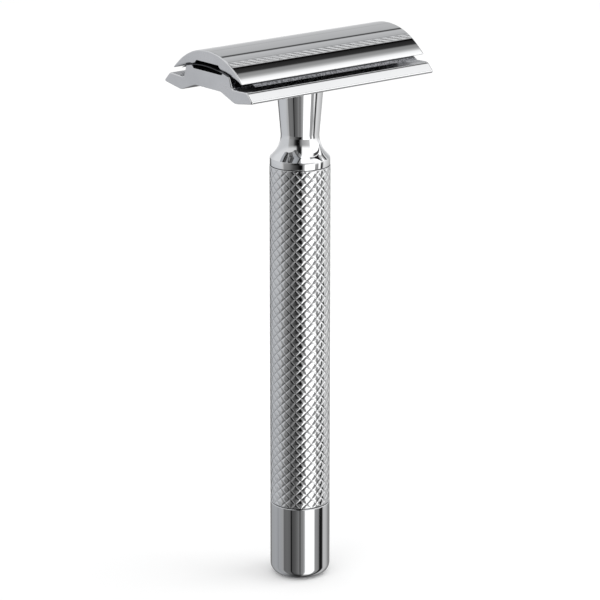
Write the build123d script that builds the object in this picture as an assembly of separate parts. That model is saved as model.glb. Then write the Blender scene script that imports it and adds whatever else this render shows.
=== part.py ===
from build123d import *
import os
from math import cos, radians, sin, sqrt, tan

# Double-edge safety razor with a twist-to-open head.
# The frame: Z runs up the handle, X along the head, Y across it, and the origin is the
# centre of the knob's flat underside. All sizes are in millimetres.

# ---- head ----
HEAD_LENGTH = 42.0
CAP_CROWN_Z = 103.0
CAP_RADIUS = 13.2          # outer curve of the cap
CAP_HALF_WIDTH = 9.8
CHANNEL_ROOF_Z = 100.83    # hollow along the middle of the cap's underside
CHANNEL_ROOF_HALF = 3.1
CHANNEL_KNEE = (3.65, 100.26)
CHANNEL_MOUTH_HALF = 4.47
PLATE_UNDERSIDE_Z = 96.3
PLATFORM_FLOOR_Z = 99.37   # floor between the two blade rests of the plate
PLATFORM_FLOOR_HALF = 4.02
EDGE_BREAK = 0.12          # small chamfer on the cap's cut ends
# guard plate corners: distance from the middle, height, rounding
PLATE_BELLY = (3.7, PLATE_UNDERSIDE_Z, 2.0)
GUARD_UNDERSIDE = (7.75, 94.78, 2.5)
GUARD_TIP = (12.95, 95.58, 0.35)
GUARD_RIDGE = (11.1, 97.4, 1.1)
TROUGH_FLOOR = (7.0, 97.26, 0.7)
BLADE_REST_OUTER = 6.15
BLADE_REST_ROUNDS = (0.6, 0.1)   # outer and inner edge of each blade rest
PLATFORM_ROUND = 0.12

# ---- blade: the standard double-edge size ----
BLADE_LENGTH = 43.0
BLADE_WIDTH = 22.0
BLADE_THICKNESS = 0.1
BLADE_EDGE_LENGTH = 37.3
BLADE_TAB_WIDTH = 13.1
BLADE_BEND_RADIUS = 25.0
BLADE_CROWN_Z = 100.38
BLADE_SLOT = (35.0, 3.0)
BLADE_HOLE_RADIUS = 3.2
BLADE_POST_HOLE_RADIUS = 2.2
BLADE_GAP = 0.02           # play between the blade, the cap and the blade rests

# ---- cap posts and stud ----
POST_RADIUS = 1.9
POST_SPACING = 26.0
POST_FOOT_Z = 96.7
POST_ROOT_Z = 102.0
POST_CHAMFER = 0.35
STUD_RADIUS = 2.0
STUD_TIP_Z = 86.0
STUD_ROOT_Z = 102.2
STUD_TIP_CHAMFER = 0.6
STUD_FLANGE_RADIUS = 2.9
STUD_FLANGE_THICKNESS = 0.4
RUNNING_GAP = 0.05         # radial clearance of every turning or sliding fit

# ---- neck ----
NECK_SPIGOT_RADIUS = 3.0   # the plate sits on this spigot
NECK_SPIGOT_TOP_Z = 99.3
NECK_WAIST_RADIUS = 3.51
NECK_WAIST_Z = 84.9
NECK_WAIST_CURVE = 5.0
NECK_CONE_ANGLE = 4.93
NECK_FLARE_ANGLE = 41.0
NECK_BORE_STEP_Z = 92.0
NECK_FOOT_Z = 71.4
COLLAR_RADIUS = 5.5
COLLAR_SHOULDER_RADIUS = 5.45
PLATE_NUT_RADIUS = 3.9
PLATE_NUT_THICKNESS = 1.0
SPANNER_SLOT_WIDTH = 0.9
SPANNER_SLOT_DEPTH = 0.4

# ---- handle tube ----
TUBE_RADIUS = 5.575
TUBE_BORE_RADIUS = 4.6
TUBE_TOP_Z = 79.4
TUBE_CHAMFER = 0.18

# ---- knob ----
KNOB_RADIUS = 5.59
KNOB_HEIGHT = 14.3
KNOB_FOOT_ROUND = 1.9
KNOB_SEAM_GAP = 0.1
KNOB_SPIGOT_RADIUS = 3.6
KNOB_SPIGOT_TOP_Z = 22.0
KNOB_FLOOR_Z = 6.0         # seat of the rod's foot
SCREW_SEAT_Z = 4.0
SCREW_RADIUS = 1.0
SCREW_HEAD_RADIUS = 2.1
SCREW_HEAD_HEIGHT = 1.8
SCREW_TIP_Z = 11.0
SCREW_SOCKET_RADIUS = 0.9
SCREW_SOCKET_DEPTH = 1.1
PLUG_RADIUS = 3.2
PLUG_DEPTH = 1.2
PLUG_RECESS = 0.1

# ---- draw rod and nut ----
ROD_RADIUS = 2.5
ROD_FOOT_RADIUS = 2.0
ROD_FLAT = 1.45            # the flat on the rod's foot is this far from the axis
ROD_TOP_Z = 66.0
NUT_NOSE_RADIUS = 2.7
NUT_NOSE_TOP_Z = 91.0
NUT_BORE_FLOOR_Z = 82.0
NUT_FLANGE_RADIUS = 4.2
NUT_FLANGE_Z = (69.2, 70.75)
NUT_SLEEVE_FOOT_Z = 58.0
NUT_PIN_RADIUS = 0.6
NUT_PIN_Z = 61.5

# ---- bearings ----
BUSH_WALL_RADIUS = 3.65    # bore of both bushes
SPINDLE_BUSH_Z = (62.5, 68.35)
FOOT_BUSH_Z = (14.6, 20.8)
THRUST_WASHER_THICKNESS = 0.6
DISC_SPRING_THICKNESS = 0.25
DISC_SPRING_HEIGHT = 0.8
O_RING_SECTION = 0.58
O_RING_CENTRE_RADIUS = 3.03
O_RING_Z = 17.8
BUSH_CHAMFER = 0.3

CAP_CENTRE_Z = CAP_CROWN_Z - CAP_RADIUS
BLADE_CENTRE_Z = BLADE_CROWN_Z - BLADE_BEND_RADIUS
NUT_SLEEVE_RADIUS = BUSH_WALL_RADIUS - RUNNING_GAP


def arc_z(radius, centre_z, y):
    """Height of a curve that runs across the head, at the distance y from the middle."""
    return centre_z + sqrt(radius**2 - y**2)


def cross_arc(radius, centre_z, y_start, y_end):
    """An arc across the head about a line along X at the given height."""
    y_middle = (y_start + y_end) / 2
    return ThreePointArc(
        *[(y, arc_z(radius, centre_z, y)) for y in (y_start, y_middle, y_end)]
    )


def head_bar(half_outline):
    """Mirror half of a cross section and run it along the head."""
    half = make_face(Curve() + half_outline)
    section = half + mirror(half, about=Plane.YZ)
    return extrude(Plane.YZ * section, HEAD_LENGTH / 2, both=True)


def turned(*outline):
    """Turn an outline of (radius, height) points or curves about the handle's axis."""
    if all(isinstance(item, tuple) for item in outline):
        edges = Polyline(*outline, close=True)
    else:
        edges = Curve() + list(outline)
    return revolve(Plane.XZ * make_face(edges), Axis.Z)


def ring(inner, outer, low, high, chamfer_size=0.0):
    """A plain turned ring, with both outer edges broken."""
    c = chamfer_size
    points = [
        (inner, low),
        (outer - c, low),
        (outer, low + c),
        (outer, high - c),
        (outer - c, high),
        (inner, high),
    ]
    if c == 0:
        points = [(inner, low), (outer, low), (outer, high), (inner, high)]
    return turned(*points)


def rod(radius, low, high, x=0.0):
    """A plain vertical cylinder."""
    return Pos(x, 0, low) * Cylinder(
        radius, high - low, align=(Align.CENTER, Align.CENTER, Align.MIN)
    )


def break_crown_ends(bar):
    """Chamfer the crown curve of both end faces."""
    ends = bar.faces().filter_by(Axis.X).sort_by(Axis.X)
    return chamfer([face.edges().sort_by(Axis.Z)[-1] for face in (ends[0], ends[-1])], EDGE_BREAK)


# ---------------------------------------------------------------------------
# The head
# ---------------------------------------------------------------------------
def top_cap():
    """Domed cap: outer curve, clamping curve under it, and the channel for stud and posts."""
    under_radius = BLADE_BEND_RADIUS + BLADE_THICKNESS / 2 + BLADE_GAP
    crown = (0, CAP_CROWN_Z)
    roof_middle = (0, CHANNEL_ROOF_Z)
    roof_corner = (CHANNEL_ROOF_HALF, CHANNEL_ROOF_Z)
    tip_top = (CAP_HALF_WIDTH, arc_z(CAP_RADIUS, CAP_CENTRE_Z, CAP_HALF_WIDTH))
    tip_foot = (CAP_HALF_WIDTH, arc_z(under_radius, BLADE_CENTRE_Z, CAP_HALF_WIDTH))
    mouth = (CHANNEL_MOUTH_HALF, arc_z(under_radius, BLADE_CENTRE_Z, CHANNEL_MOUTH_HALF))
    bar = head_bar(
        [
            cross_arc(CAP_RADIUS, CAP_CENTRE_Z, 0, CAP_HALF_WIDTH),
            Line(tip_top, tip_foot),
            cross_arc(under_radius, BLADE_CENTRE_Z, CAP_HALF_WIDTH, CHANNEL_MOUTH_HALF),
            Polyline(mouth, CHANNEL_KNEE, roof_corner, roof_middle),
            Line(roof_middle, crown),
        ]
    )
    bar = break_crown_ends(bar)
    for x in post_places():
        bar -= rod(POST_RADIUS, PLATE_UNDERSIDE_Z, POST_ROOT_Z, x)
    return bar - rod(STUD_RADIUS, PLATE_UNDERSIDE_Z, STUD_ROOT_Z)


def post_places():
    return (-POST_SPACING / 2, POST_SPACING / 2)


def cap_post(side):
    """Guide post pressed into the cap: it holds the blade square on the plate."""
    post = rod(POST_RADIUS, POST_FOOT_Z, POST_ROOT_Z, side * POST_SPACING / 2)
    return chamfer(post.edges().sort_by(Axis.Z)[0], POST_CHAMFER)


def cap_stud():
    """Threaded stud of the cap, as a plain pin at the thread's outer size, with its shoulder."""
    flange_low = CHANNEL_ROOF_Z - STUD_FLANGE_THICKNESS
    return turned(
        (0, STUD_TIP_Z),
        (STUD_RADIUS - STUD_TIP_CHAMFER, STUD_TIP_Z),
        (STUD_RADIUS, STUD_TIP_Z + STUD_TIP_CHAMFER),
        (STUD_RADIUS, flange_low),
        (STUD_FLANGE_RADIUS, flange_low),
        (STUD_FLANGE_RADIUS, CHANNEL_ROOF_Z),
        (STUD_RADIUS, CHANNEL_ROOF_Z),
        (STUD_RADIUS, STUD_ROOT_Z),
        (0, STUD_ROOT_Z),
    )


def razor_blade():
    """Double-edge blade, bent over the plate as it is when the head is closed."""
    outer = BLADE_BEND_RADIUS + BLADE_THICKNESS / 2
    inner = BLADE_BEND_RADIUS - BLADE_THICKNESS / 2
    edge_angle = BLADE_WIDTH / 2 / BLADE_BEND_RADIUS
    outer_edge = outer * sin(edge_angle)
    inner_edge = inner * sin(edge_angle)
    top = ThreePointArc(
        (-outer_edge, arc_z(outer, BLADE_CENTRE_Z, outer_edge)),
        (0, BLADE_CENTRE_Z + outer),
        (outer_edge, arc_z(outer, BLADE_CENTRE_Z, outer_edge)),
    )
    foot = ThreePointArc(
        (inner_edge, arc_z(inner, BLADE_CENTRE_Z, inner_edge)),
        (0, BLADE_CENTRE_Z + inner),
        (-inner_edge, arc_z(inner, BLADE_CENTRE_Z, inner_edge)),
    )
    section = make_face(Curve() + [top, Line(top @ 1, foot @ 0), foot, Line(foot @ 1, top @ 0)])
    sheet = extrude(Plane.YZ * section, BLADE_LENGTH / 2, both=True)

    outline = Rectangle(BLADE_EDGE_LENGTH, BLADE_WIDTH + 2) + Rectangle(BLADE_LENGTH, BLADE_TAB_WIDTH)
    outline -= SlotOverall(*BLADE_SLOT)
    outline -= Circle(BLADE_HOLE_RADIUS)
    for x in post_places():
        outline -= Pos(x, 0) * Circle(BLADE_POST_HOLE_RADIUS)
    return sheet & Pos(0, 0, PLATE_UNDERSIDE_Z) * extrude(outline, CAP_CROWN_Z - PLATE_UNDERSIDE_Z)


def guard_plate():
    """Base plate: a guard bar along each side, a trough, and the two raised blade rests."""
    rest_radius = BLADE_BEND_RADIUS - BLADE_THICKNESS / 2 - BLADE_GAP
    outer_round, inner_round = BLADE_REST_ROUNDS
    corners = [
        PLATE_BELLY,
        GUARD_UNDERSIDE,
        GUARD_TIP,
        GUARD_RIDGE,
        TROUGH_FLOOR,
        (BLADE_REST_OUTER, arc_z(rest_radius, BLADE_CENTRE_Z, BLADE_REST_OUTER), outer_round),
        (CHANNEL_MOUTH_HALF, arc_z(rest_radius, BLADE_CENTRE_Z, CHANNEL_MOUTH_HALF), inner_round),
        (PLATFORM_FLOOR_HALF, PLATFORM_FLOOR_Z, PLATFORM_ROUND),
    ]
    start = (0, PLATE_UNDERSIDE_Z)
    end = (0, PLATFORM_FLOOR_Z)
    points = [start] + [(y, z) for y, z, _ in corners] + [end]
    outline = FilletPolyline(*points, radius=[r for _, _, r in corners])
    bar = head_bar([outline, Line(end, start)])

    nut_seat_z = NECK_SPIGOT_TOP_Z - PLATE_NUT_THICKNESS
    neck_seat = neck_top_radius() + RUNNING_GAP
    bar -= rod(NECK_SPIGOT_RADIUS, PLATE_UNDERSIDE_Z - 1, CAP_CROWN_Z)
    bar -= rod(PLATE_NUT_RADIUS + RUNNING_GAP, nut_seat_z, CAP_CROWN_Z)
    bar -= rod(neck_seat, PLATE_UNDERSIDE_Z - 2, PLATE_UNDERSIDE_Z)
    for x in post_places():
        bar -= rod(POST_RADIUS + RUNNING_GAP, PLATE_UNDERSIDE_Z - 1, CAP_CROWN_Z, x)
    return bar


# ---------------------------------------------------------------------------
# Neck and handle
# ---------------------------------------------------------------------------
def waist_point(angle):
    """Point of the neck's waist curve where its surface leans out by the given angle."""
    lean = radians(angle)
    return (
        NECK_WAIST_RADIUS + NECK_WAIST_CURVE * (1 - cos(lean)),
        NECK_WAIST_Z + NECK_WAIST_CURVE * sin(lean),
    )


def neck_top_radius():
    radius, height = waist_point(NECK_CONE_ANGLE)
    return radius + (PLATE_UNDERSIDE_Z - height) * tan(radians(NECK_CONE_ANGLE))


def neck():
    """Turned neck: spigot in the tube, collar, flare, waist, cone and the plate's spigot."""
    flare_top = waist_point(-NECK_FLARE_ANGLE)
    cone_foot = waist_point(NECK_CONE_ANGLE)
    flare_run = COLLAR_SHOULDER_RADIUS - flare_top[0]
    shoulder_z = flare_top[1] - flare_run / tan(radians(NECK_FLARE_ANGLE))
    nose_bore = NUT_NOSE_RADIUS + RUNNING_GAP
    stud_bore = STUD_RADIUS + 0.1
    lower = Polyline(
        (nose_bore, NECK_FOOT_Z),
        (TUBE_BORE_RADIUS - BUSH_CHAMFER, NECK_FOOT_Z),
        (TUBE_BORE_RADIUS, NECK_FOOT_Z + BUSH_CHAMFER),
        (TUBE_BORE_RADIUS, TUBE_TOP_Z),
        (COLLAR_RADIUS - TUBE_CHAMFER, TUBE_TOP_Z),
        (COLLAR_RADIUS, TUBE_TOP_Z + TUBE_CHAMFER),
        (COLLAR_RADIUS, shoulder_z - 0.1),
        (COLLAR_SHOULDER_RADIUS, shoulder_z),
        flare_top,
    )
    waist = ThreePointArc(flare_top, waist_point(0), cone_foot)
    upper = Polyline(
        cone_foot,
        (neck_top_radius(), PLATE_UNDERSIDE_Z),
        (NECK_SPIGOT_RADIUS, PLATE_UNDERSIDE_Z),
        (NECK_SPIGOT_RADIUS, NECK_SPIGOT_TOP_Z),
        (stud_bore, NECK_SPIGOT_TOP_Z),
        (stud_bore, NECK_BORE_STEP_Z),
        (nose_bore, NECK_BORE_STEP_Z),
        (nose_bore, NECK_FOOT_Z),
    )
    return turned(lower, waist, upper)


def plate_nut():
    """Ring nut that clamps the plate on the neck, with two spanner slots."""
    low = NECK_SPIGOT_TOP_Z - PLATE_NUT_THICKNESS
    nut = ring(NECK_SPIGOT_RADIUS, PLATE_NUT_RADIUS, low, NECK_SPIGOT_TOP_Z)
    slot_length = 2 * PLATE_NUT_RADIUS + 1
    slots = Box(slot_length, SPANNER_SLOT_WIDTH, 2 * SPANNER_SLOT_DEPTH)
    return nut - Pos(0, 0, NECK_SPIGOT_TOP_Z) * slots


def handle_tube():
    """Grip tube at the size over its knurling."""
    c = TUBE_CHAMFER
    foot = KNOB_HEIGHT + KNOB_SEAM_GAP
    return turned(
        (TUBE_BORE_RADIUS, foot),
        (TUBE_RADIUS - c, foot),
        (TUBE_RADIUS, foot + c),
        (TUBE_RADIUS, TUBE_TOP_Z - c),
        (TUBE_RADIUS - c, TUBE_TOP_Z),
        (TUBE_BORE_RADIUS, TUBE_TOP_Z),
    )


def thrust_washer():
    """Washer under the neck's foot, which takes the pull of the draw nut."""
    low = NECK_FOOT_Z - THRUST_WASHER_THICKNESS
    return ring(NUT_NOSE_RADIUS + 0.15, NUT_FLANGE_RADIUS, low, NECK_FOOT_Z)


def disc_spring():
    """Coned disc spring under the draw nut's flange: it keeps the knob from working loose."""
    low = SPINDLE_BUSH_Z[1]
    high = low + DISC_SPRING_HEIGHT
    inner = NUT_SLEEVE_RADIUS + 0.1
    outer = TUBE_BORE_RADIUS - 0.05
    return turned(
        (outer, low),
        (outer, low + DISC_SPRING_THICKNESS),
        (inner, high),
        (inner, high - DISC_SPRING_THICKNESS),
    )


def spindle_bush():
    """Upper plain bearing of the spindle, pressed into the tube."""
    return ring(BUSH_WALL_RADIUS, TUBE_BORE_RADIUS, *SPINDLE_BUSH_Z, BUSH_CHAMFER)


def foot_bush():
    """Lower plain bearing, between the tube and the knob's spigot."""
    return ring(BUSH_WALL_RADIUS, TUBE_BORE_RADIUS, *FOOT_BUSH_Z, BUSH_CHAMFER)


# ---------------------------------------------------------------------------
# The turning spindle
# ---------------------------------------------------------------------------
def d_section(radius, low, high):
    """A cylinder with one flat, as on the rod's foot."""
    reach = 4 * radius
    flat = Pos(ROD_FLAT + reach / 2, 0, (low + high) / 2) * Box(reach, reach, high - low)
    return rod(radius, low, high) - flat


def nut_pin():
    """Pin that locks the draw nut on the rod."""
    half_length = sqrt(NUT_SLEEVE_RADIUS**2 - NUT_PIN_RADIUS**2) - 0.05
    return Pos(0, 0, NUT_PIN_Z) * Rot(0, 90, 0) * Cylinder(NUT_PIN_RADIUS, 2 * half_length)


def pin_hole():
    """The cross hole for the nut pin."""
    return Pos(0, 0, NUT_PIN_Z) * Rot(0, 90, 0) * Cylinder(NUT_PIN_RADIUS, 4 * ROD_RADIUS)


def draw_nut():
    """Long nut that runs up inside the neck and draws the stud down."""
    flange_low, flange_high = NUT_FLANGE_Z
    bore = STUD_RADIUS + RUNNING_GAP
    nut = turned(
        (ROD_RADIUS, NUT_SLEEVE_FOOT_Z),
        (NUT_SLEEVE_RADIUS, NUT_SLEEVE_FOOT_Z),
        (NUT_SLEEVE_RADIUS, flange_low),
        (NUT_FLANGE_RADIUS, flange_low),
        (NUT_FLANGE_RADIUS, flange_high),
        (NUT_NOSE_RADIUS, flange_high),
        (NUT_NOSE_RADIUS, NUT_NOSE_TOP_Z),
        (bore, NUT_NOSE_TOP_Z),
        (bore, NUT_BORE_FLOOR_Z),
        (0, NUT_BORE_FLOOR_Z - 1),
        (0, ROD_TOP_Z),
        (ROD_RADIUS, ROD_TOP_Z),
    )
    return nut - pin_hole()


def draw_rod():
    """Rod from the knob to the draw nut, with a flatted foot and a tapped end."""
    body = rod(ROD_RADIUS, KNOB_SPIGOT_TOP_Z, ROD_TOP_Z)
    foot = d_section(ROD_FOOT_RADIUS, KNOB_FLOOR_Z, KNOB_SPIGOT_TOP_Z)
    tapped = rod(SCREW_RADIUS, KNOB_FLOOR_Z, SCREW_TIP_Z + 1)
    return body + foot - tapped - pin_hole()


def twist_knob():
    """Smooth knob with its spigot, ring groove, rod socket and screw seat."""
    groove_radius = O_RING_CENTRE_RADIUS - O_RING_SECTION
    groove_half = O_RING_SECTION + 0.02
    r = KNOB_FOOT_ROUND
    side = KNOB_RADIUS - r
    foot_arc = ThreePointArc(
        (side, 0),
        (side + r * sin(radians(45)), r - r * cos(radians(45))),
        (KNOB_RADIUS, r),
    )
    c = TUBE_CHAMFER
    body = turned(
        Line((0, 0), (side, 0)),
        foot_arc,
        Polyline(
            (KNOB_RADIUS, r),
            (KNOB_RADIUS, KNOB_HEIGHT - c),
            (KNOB_RADIUS - c, KNOB_HEIGHT),
            (KNOB_SPIGOT_RADIUS, KNOB_HEIGHT),
            (KNOB_SPIGOT_RADIUS, O_RING_Z - groove_half),
            (groove_radius, O_RING_Z - groove_half),
            (groove_radius, O_RING_Z + groove_half),
            (KNOB_SPIGOT_RADIUS, O_RING_Z + groove_half),
            (KNOB_SPIGOT_RADIUS, KNOB_SPIGOT_TOP_Z),
            (0, KNOB_SPIGOT_TOP_Z),
            (0, 0),
        ),
    )
    body -= d_section(ROD_FOOT_RADIUS, KNOB_FLOOR_Z, KNOB_SPIGOT_TOP_Z)
    body -= rod(SCREW_RADIUS + 0.1, 0, KNOB_FLOOR_Z)
    body -= rod(SCREW_HEAD_RADIUS + 0.15, 0, SCREW_SEAT_Z)
    return body - rod(PLUG_RADIUS, 0, PLUG_DEPTH)


def knob_screw():
    """Socket screw that holds the knob on the rod."""
    head_low = SCREW_SEAT_Z - SCREW_HEAD_HEIGHT
    head = rod(SCREW_HEAD_RADIUS, head_low, SCREW_SEAT_Z)
    shank = rod(SCREW_RADIUS, SCREW_SEAT_Z, SCREW_TIP_Z)
    socket = extrude(RegularPolygon(SCREW_SOCKET_RADIUS, 6), SCREW_SOCKET_DEPTH)
    return head + shank - Pos(0, 0, head_low) * socket


def knob_plug():
    """Disc that covers the screw in the knob's underside."""
    return ring(0, PLUG_RADIUS, PLUG_RECESS, PLUG_DEPTH, 0.1)


def friction_ring():
    """Rubber ring in the spigot's groove, which gives the knob its smooth drag."""
    return Pos(0, 0, O_RING_Z) * Torus(O_RING_CENTRE_RADIUS, O_RING_SECTION)


PIECES = {
    "top_cap": top_cap(),
    "cap_stud": cap_stud(),
    "cap_post_left": cap_post(-1),
    "cap_post_right": cap_post(1),
    "razor_blade": razor_blade(),
    "guard_plate": guard_plate(),
    "plate_nut": plate_nut(),
    "neck": neck(),
    "handle_tube": handle_tube(),
    "thrust_washer": thrust_washer(),
    "disc_spring": disc_spring(),
    "spindle_bush": spindle_bush(),
    "foot_bush": foot_bush(),
    "draw_nut": draw_nut(),
    "nut_pin": nut_pin(),
    "draw_rod": draw_rod(),
    "twist_knob": twist_knob(),
    "knob_screw": knob_screw(),
    "knob_plug": knob_plug(),
    "friction_ring": friction_ring(),
}

os.makedirs("parts", exist_ok=True)
for name, piece in PIECES.items():
    piece.label = name
    export_step(piece, f"parts/{name}.step")
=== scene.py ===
from math import atan2, ceil, cos, degrees, pi, radians, sin, sqrt, tan

import bmesh
import bpy
import numpy as np
from mathutils import Matrix, Vector


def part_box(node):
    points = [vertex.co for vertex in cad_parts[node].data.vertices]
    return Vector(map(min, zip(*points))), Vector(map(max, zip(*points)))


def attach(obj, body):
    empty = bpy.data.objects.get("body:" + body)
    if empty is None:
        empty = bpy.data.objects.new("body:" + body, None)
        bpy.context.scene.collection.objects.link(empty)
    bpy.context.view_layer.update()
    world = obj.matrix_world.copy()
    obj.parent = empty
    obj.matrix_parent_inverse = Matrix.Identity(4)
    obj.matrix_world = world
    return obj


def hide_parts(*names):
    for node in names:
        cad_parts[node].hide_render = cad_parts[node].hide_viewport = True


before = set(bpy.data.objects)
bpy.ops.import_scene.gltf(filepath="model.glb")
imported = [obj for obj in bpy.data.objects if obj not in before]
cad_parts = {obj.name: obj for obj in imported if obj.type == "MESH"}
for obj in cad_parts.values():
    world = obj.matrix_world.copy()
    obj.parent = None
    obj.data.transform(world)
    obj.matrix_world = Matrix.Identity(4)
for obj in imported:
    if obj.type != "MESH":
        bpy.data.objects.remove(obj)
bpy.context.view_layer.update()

SCENE = bpy.context.scene
MM = 0.001


def box_mm(node):
    low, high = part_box(node)
    return [v / MM for v in low], [v / MM for v in high]


# ---------------------------------------------------------------------------
# Sizes in millimetres, in the frame of the CAD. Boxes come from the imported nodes.
# ---------------------------------------------------------------------------
cap_high = box_mm("top_cap")[1]
blade_high = box_mm("razor_blade")[1]
knob_high = box_mm("twist_knob")[1]
tube_low, tube_high = box_mm("handle_tube")
neck_low, neck_high = box_mm("neck")
stud_low, stud_high = box_mm("cap_stud")
post_low, post_high = box_mm("cap_post_right")
plug_low, plug_high = box_mm("knob_plug")

CLEAR = 0.01                 # between a finished piece and the one it sits in

HEAD_HALF = cap_high[0]
CROWN_Z = cap_high[2]
CAP_RADIUS = 13.2
CAP_CENTRE_Z = CROWN_Z - CAP_RADIUS
CAP_HALF = cap_high[1]
CAP_LIP_ROUND = 0.09
CAP_END_EDGE = 0.28          # rounding of the edges of its end faces
LIP_PLAIN = 0.15             # next to the lip that rounding is at its least
LIP_GROWTH = 1.05            # and over this width it grows to the full
LIP_SHARE = 0.2              # that least, as a share of the rounding
TIGHT_SHARE = 0.4            # and its share where the outline has tight corners
CHANNEL_ROOF_Z = 100.83
CHANNEL_ROOF_HALF = 3.1
CHANNEL_KNEE = (3.65, 100.26)
CHANNEL_MOUTH = 4.47

GUARD_END_EDGE = 0.32
PLATE_UNDERSIDE_Z = 96.3
PLATFORM_FLOOR_Z = 99.37
REST_OUTER = 6.15            # where the blade rest ends and the trough begins
BAR_FOOT_Z = 95.35           # the bar's outside starts here
NUT_RECESS_RADIUS = 3.95
NUT_RECESS_FLOOR_Z = 98.3
NECK_SEAT_RADIUS = 4.52

BLADE_BEND = 25.0
BLADE_CENTRE_Z = 75.38
BLADE_THICK = 0.1
BLADE_GAP = 0.02             # from the blade to the cap above it and the rests below it
BLADE_HALF_LENGTH = blade_high[0]
BLADE_HALF_WIDTH = 11.0
BLADE_EDGE_HALF = 18.65
BLADE_TAB_HALF = 6.55
BLADE_BEVEL = 10.3           # the ground bevel starts here, measured across the flat blade
BLADE_BEVEL_THINNING = 0.93
BLADE_SLOT_HALF = (17.5, 1.5)
BLADE_SLOT_ROUND = 1.45
BLADE_STUD_HOLE = 3.2
BLADE_POST_HOLE = 2.2

POST_RADIUS = 1.9
POST_X = 13.0
POST_NOSE = 0.35
STUD_PITCH = 0.7
STUD_ROOT_RADIUS = 1.6
STUD_CREST_RADIUS = 1.99
STUD_ROOT_FLAT = 0.06        # half the flat at the root, of the pitch
STUD_FLANK = 0.30            # of the pitch
STUD_TIP_RADIUS = 1.4
STUD_TIP_LENGTH = 0.6
STUD_FLANGE_RADIUS = 2.9
STUD_FLANGE_THICK = 0.4
STUD_SHANK_RADIUS = 2.0

NECK_WAIST_RADIUS = 3.51
NECK_WAIST_Z = 84.9
NECK_WAIST_CURVE = 5.0
NECK_CONE_ANGLE = 4.93
NECK_FLARE_ANGLE = 41.0
COLLAR_RADIUS = neck_high[0]
COLLAR_SHOULDER_RADIUS = 5.45
NECK_SPIGOT_RADIUS = 3.0
NUT_NOSE_BORE = 2.75
STUD_BORE = 2.1
NECK_BORE_STEP_Z = 92.0

TUBE_RADIUS = tube_high[0]
TUBE_BORE = 4.6
TUBE_END_ROUND = 0.16
TUBE_END_MID = (0.05, 0.09)  # a point of that rounding, in from the wall and along from the end
KNURL_STARTS = 17
KNURL_PITCH = 1.81
KNURL_DEPTH = 0.042
KNURL_HALF_WIDTH = 0.07      # half a groove, of a cell's width
KNURL_VALLEY = 0.03          # its bottom, darkened as painted shade, of a cell's width
KNURL_CROWN = 0.024
KNURL_MARGIN = 0.22          # plain rim at each end of the tube

KNOB_RADIUS = knob_high[0]
KNOB_HEIGHT = 14.3
KNOB_FOOT_ROUND = 1.9
KNOB_SPIGOT_RADIUS = 3.6
RING_GROOVE_Z = 17.8
RING_GROOVE_HALF = 0.6
RING_GROOVE_RADIUS = 2.45
ROD_SOCKET_RADIUS = 2.02
ROD_SOCKET_FLOOR_Z = 6.0
SCREW_HOLE_RADIUS = 1.1
SCREW_SEAT_RADIUS = 2.25
SCREW_SEAT_Z = 4.0
PLUG_RADIUS = plug_high[0]
PLUG_SEAT_Z = 1.2


# ---------------------------------------------------------------------------
# Node helpers
# ---------------------------------------------------------------------------
class Nodes:
    """Short way to build a node tree."""

    def __init__(self, tree):
        self.tree = tree
        tree.nodes.clear()

    def add(self, kind, inputs=None, **settings):
        node = self.tree.nodes.new(kind)
        for key, value in settings.items():
            setattr(node, key, value)
        for key, value in (inputs or {}).items():
            if isinstance(value, bpy.types.NodeSocket):
                self.tree.links.new(value, node.inputs[key])
            else:
                node.inputs[key].default_value = value
        return node

    def math(self, operation, *values):
        inputs = dict(enumerate(values))
        return self.add("ShaderNodeMath", inputs, operation=operation).outputs[0]

    def spread(self, value, low, high, to_low=0.0, to_high=1.0, smooth=False):
        kind = "SMOOTHSTEP" if smooth else "LINEAR"
        inputs = {"Value": value, "From Min": low, "From Max": high, "To Min": to_low, "To Max": to_high}
        return self.add("ShaderNodeMapRange", inputs, interpolation_type=kind).outputs[0]

    def ramp(self, value, stops):
        """Colour ramp with (position, (r, g, b)) stops."""
        node = self.add("ShaderNodeValToRGB", {"Fac": value})
        elements = node.color_ramp.elements
        while len(elements) > 1:
            elements.remove(elements[-1])
        for index, (position, colour) in enumerate(stops):
            element = elements[0] if index == 0 else elements.new(position)
            element.position = position
            element.color = (*colour, 1.0)
        return node.outputs["Color"]

    def noise(self, vector, scale, detail=2.0, roughness=0.5):
        inputs = {"Vector": vector, "Scale": scale, "Detail": detail, "Roughness": roughness}
        return self.add("ShaderNodeTexNoise", inputs).outputs["Fac"]

    def mix(self, factor, first, second):
        """Colour mix. The node repeats its socket names per data type, so they go by index."""
        node = self.add("ShaderNodeMix", {0: factor, 6: first, 7: second}, data_type="RGBA")
        return node.outputs[2]

    def stretched(self, vector, factors):
        return self.add("ShaderNodeMapping", {"Vector": vector, "Scale": factors}).outputs[0]


# ---------------------------------------------------------------------------
# Materials
# ---------------------------------------------------------------------------
SMUDGE_SCALE = 130.0
FLECK_MIX = 0.8


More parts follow.
